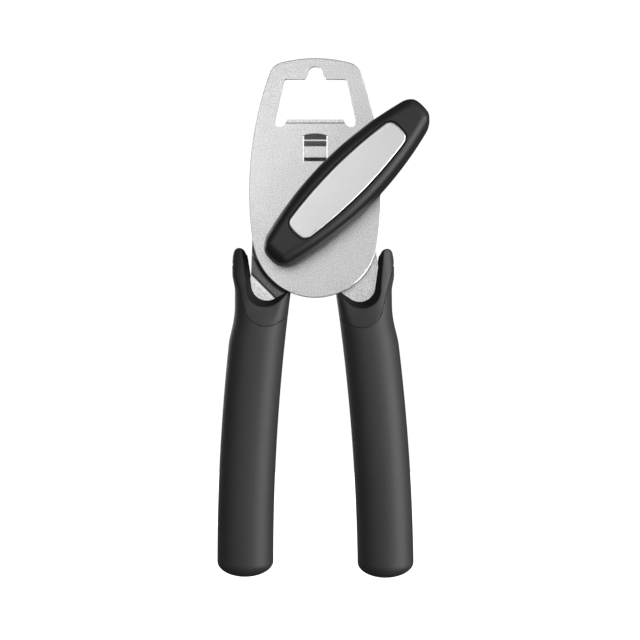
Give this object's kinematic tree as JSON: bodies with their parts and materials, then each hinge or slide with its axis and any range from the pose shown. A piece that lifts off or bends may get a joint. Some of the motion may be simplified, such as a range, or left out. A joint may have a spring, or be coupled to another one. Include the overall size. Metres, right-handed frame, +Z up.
{
  "type": "manual can opener",
  "caption": "Hand-held can opener with an egg-shaped steel head plate, bottle-cap window, two long black grips, a cutting disc and a long turning knob.",
  "frame": {"origin": "top of the hanging notch, in the middle of the head plate's thickness", "axes": "+Z up along the hanging tool, +Y out of the back of the head plate, +X to the right seen from the knob side"},
  "size_m": [0.085, 0.0327, 0.2083],
  "materials": {
    "plate_steel": "bead-blasted stainless steel",
    "arm_steel": "satin stainless steel",
    "inlay_steel": "satin stainless steel, polished bevel",
    "cutter_steel": "ground hardened steel",
    "bush_steel": "turned steel",
    "fastener_steel": "plated steel",
    "bronze": "sintered bronze",
    "hard_plastic": "fine-grained black plastic",
    "knob_plastic": "matte black plastic",
    "grip_rubber": "matte soft-touch black"
  },
  "bodies": {
    "head": {"head_plate": "plate_steel", "left_arm": "arm_steel", "plate_rivets": "fastener_steel", "cutter_axle": "fastener_steel", "cutter_spacer": "fastener_steel", "cutter_washer": "fastener_steel", "left_grip_core": "hard_plastic", "left_grip_skin": "grip_rubber"},
    "right_handle": {"right_arm": "arm_steel", "eccentric_bush": "bush_steel", "bush_ring": "bush_steel", "right_grip_core": "hard_plastic", "right_grip_skin": "grip_rubber"},
    "drive": {"drive_shaft": "bush_steel", "feed_washer": "fastener_steel", "feed_wheel": "cutter_steel", "feed_nut": "fastener_steel", "spring_washer": "fastener_steel", "knob_body": "hard_plastic", "knob_grip": "knob_plastic", "knob_inlay": "inlay_steel", "knob_screw": "fastener_steel"},
    "cutter": {"cutter_wheel": "cutter_steel", "cutter_bushing": "bronze"}
  },
  "joints": [
    {"name": "handle_open", "type": "hinge", "parent": "head", "child": "right_handle", "pos_m": [0.0145, 0, -0.0449], "axis": [0, -1, 0], "range_deg": [0, 60]},
    {"name": "knob_spin", "type": "hinge", "parent": "right_handle", "child": "drive", "pos_m": [0.0124, 0, -0.0477], "axis": [0, -1, 0], "continuous": true},
    {"name": "cutter_spin", "type": "hinge", "parent": "head", "child": "cutter", "pos_m": [-0.0017, 0, -0.0538], "axis": [0, -1, 0], "continuous": true}
  ]
}
